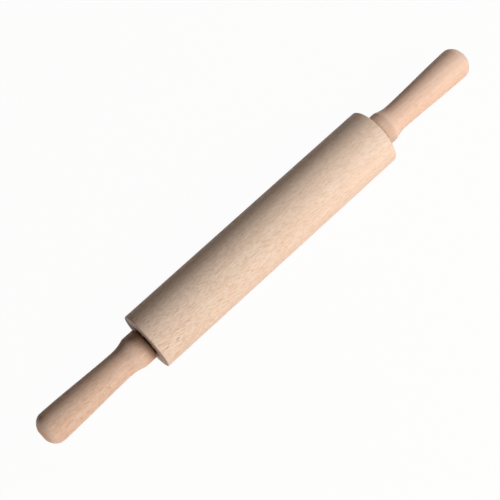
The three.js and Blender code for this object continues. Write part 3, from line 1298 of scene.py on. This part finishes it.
    def cage(self) -> bpy.types.Object:
        """Builds the cage, a ring with a round pocket for each ball.

        Returns:
            The cage.
        """
        ring = PlainRing(
            start=self.centre - self.cage_half_width,
            end=self.centre + self.cage_half_width,
            inner=self.inner_shoulder + self.cage_clearance,
            outer=self.outer_shoulder - self.cage_clearance,
            edge=self.cage_edge,
        )
        shape = turned(ring.outline(), self.cage_sides)
        cage = object_of(f"{self.side.word}_pocketed_cage", shape, self.side)
        pockets = self.spheres(range(self.ball_count), self.pocket_radius)
        cut_away(cage, object_of("pocket_cutter", pockets, self.side))
        return cage


def cut_away(piece: bpy.types.Object, cutter: bpy.types.Object) -> None:
    """Cuts one object's shape out of another, and removes the cutter.

    Args:
        piece: The object that is cut.
        cutter: The object that is used up.
    """
    cut = piece.modifiers.new("cut", "BOOLEAN")
    cut.operation = "DIFFERENCE"
    cut.solver = "EXACT"
    cut.object = cutter
    evaluated = piece.evaluated_get(bpy.context.evaluated_depsgraph_get())
    mesh = bpy.data.meshes.new_from_object(evaluated)
    piece.modifiers.clear()
    piece.data = mesh
    mesh.name = piece.name
    mesh.shade_smooth()
    mesh.set_sharp_from_angle(angle=SHARP_ANGLE)
    bpy.data.objects.remove(cutter)


@dataclass(frozen=True)
class Softbox:
    """A square white studio light that shines on the middle of the pin, its power in watts."""

    name: str
    place: Triple
    size: float
    power: float

    def build(self) -> None:
        """Adds the light to the scene."""
        lamp = bpy.data.lights.new(self.name, "AREA")
        lamp.shape = "SQUARE"
        lamp.size = self.size * MILLIMETRE
        lamp.energy = self.power
        light = bpy.data.objects.new(self.name, lamp)
        light.location = Vector(self.place) * MILLIMETRE
        light.visible_glossy = False
        light.rotation_euler = (-light.location).to_track_quat("-Z", "Y").to_euler()
        bpy.context.scene.collection.objects.link(light)


@dataclass(frozen=True)
class Studio:
    """The table, the lights and the camera, which stands where the photograph was taken from.

    The table looks white, but the light that it throws back onto the pin's shaded side is warm.
    """

    table_height: float = -25.0
    table_size: float = 12000.0
    table_colour: Colour = (0.78, 0.6, 0.47, 1.0)
    table_glow: float = 0.97
    camera_place: Triple = (-221.9, -216.2, 884.8)
    camera_aim: Triple = (-15.3, -0.95, 0.0)
    camera_roll: float = 0.21
    lens: float = 86.43
    sensor: float = 36.0
    lights: tuple[Softbox, ...] = (
        Softbox("key_softbox", place=(374.0, -462.0, 535.0), size=300.0, power=4.2),
        Softbox("near_end_softbox", place=(-908.0, -817.0, 445.0), size=400.0, power=7.1),
        Softbox("far_end_softbox", place=(1074.0, 94.0, 727.0), size=400.0, power=2.3),
    )

    def build(self) -> None:
        """Builds the table, the world, the lights and the camera."""
        bpy.context.scene.view_settings.view_transform = "Standard"
        self.build_table()
        self.build_world()
        for light in self.lights:
            light.build()
        self.build_camera()

    def build_table(self) -> None:
        """Builds the table, which keeps a faint shadow of the pin."""
        half = self.table_size / 2.0
        shape = bmesh.new()
        corners = [(-half, -half), (half, -half), (half, half), (-half, half)]
        shape.faces.new([shape.verts.new((x, y, self.table_height)) for x, y in corners])
        table = object_of("table", shape)
        material = bpy.data.materials.new("white_table")
        material.use_nodes = True
        graph = ShaderGraph(material.node_tree)
        matt = graph.value("ShaderNodeBsdfDiffuse", {}, {"Color": self.table_colour})
        white = graph.value("ShaderNodeEmission", {}, {"Color": WHITE, "Strength": 1.0})
        glow = graph.seen_directly() * self.table_glow
        mixed = graph.value("ShaderNodeMixShader", {}, {0: glow, 1: matt, 2: white})
        graph.node("ShaderNodeOutputMaterial", {}, {"Surface": mixed})
        table.data.materials.append(material)

    def build_world(self) -> None:
        """Builds the world, white where it is seen and dark where it would light the pin."""
        world = bpy.data.worlds.new("studio")
        world.use_nodes = True
        graph = ShaderGraph(world.node_tree)
        sockets = {"Color": WHITE, "Strength": graph.seen_directly()}
        light = graph.value("ShaderNodeBackground", {}, sockets)
        graph.node("ShaderNodeOutputWorld", {}, {"Surface": light})
        bpy.context.scene.world = world

    def build_camera(self) -> None:
        """Builds the camera and makes it the scene's own."""
        data = bpy.data.cameras.new("photo_camera")
        data.sensor_width = self.sensor
        data.lens = self.lens
        camera = bpy.data.objects.new("photo_camera", data)
        camera.location = Vector(self.camera_place) * MILLIMETRE
        line_of_sight = Vector(self.camera_aim) - Vector(self.camera_place)
        roll = Quaternion((0.0, 0.0, 1.0), math.radians(self.camera_roll))
        camera.rotation_euler = (line_of_sight.to_track_quat("-Z", "Y") @ roll).to_euler()
        bpy.context.scene.collection.objects.link(camera)
        bpy.context.scene.camera = camera


def main() -> None:
    """Builds the pin over its CAD frame, and the studio round it."""
    logging.basicConfig(level=logging.INFO, format="%(name)s: %(message)s", force=True)
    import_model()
    Barrel().build()
    Axle().build()
    for side in Side:
        Handle(side).build()
        AxleFittings(side).build()
        BallBearing(side).build()
    Studio().build()
    bpy.context.view_layer.update()


if __name__ == "__main__":
    main()
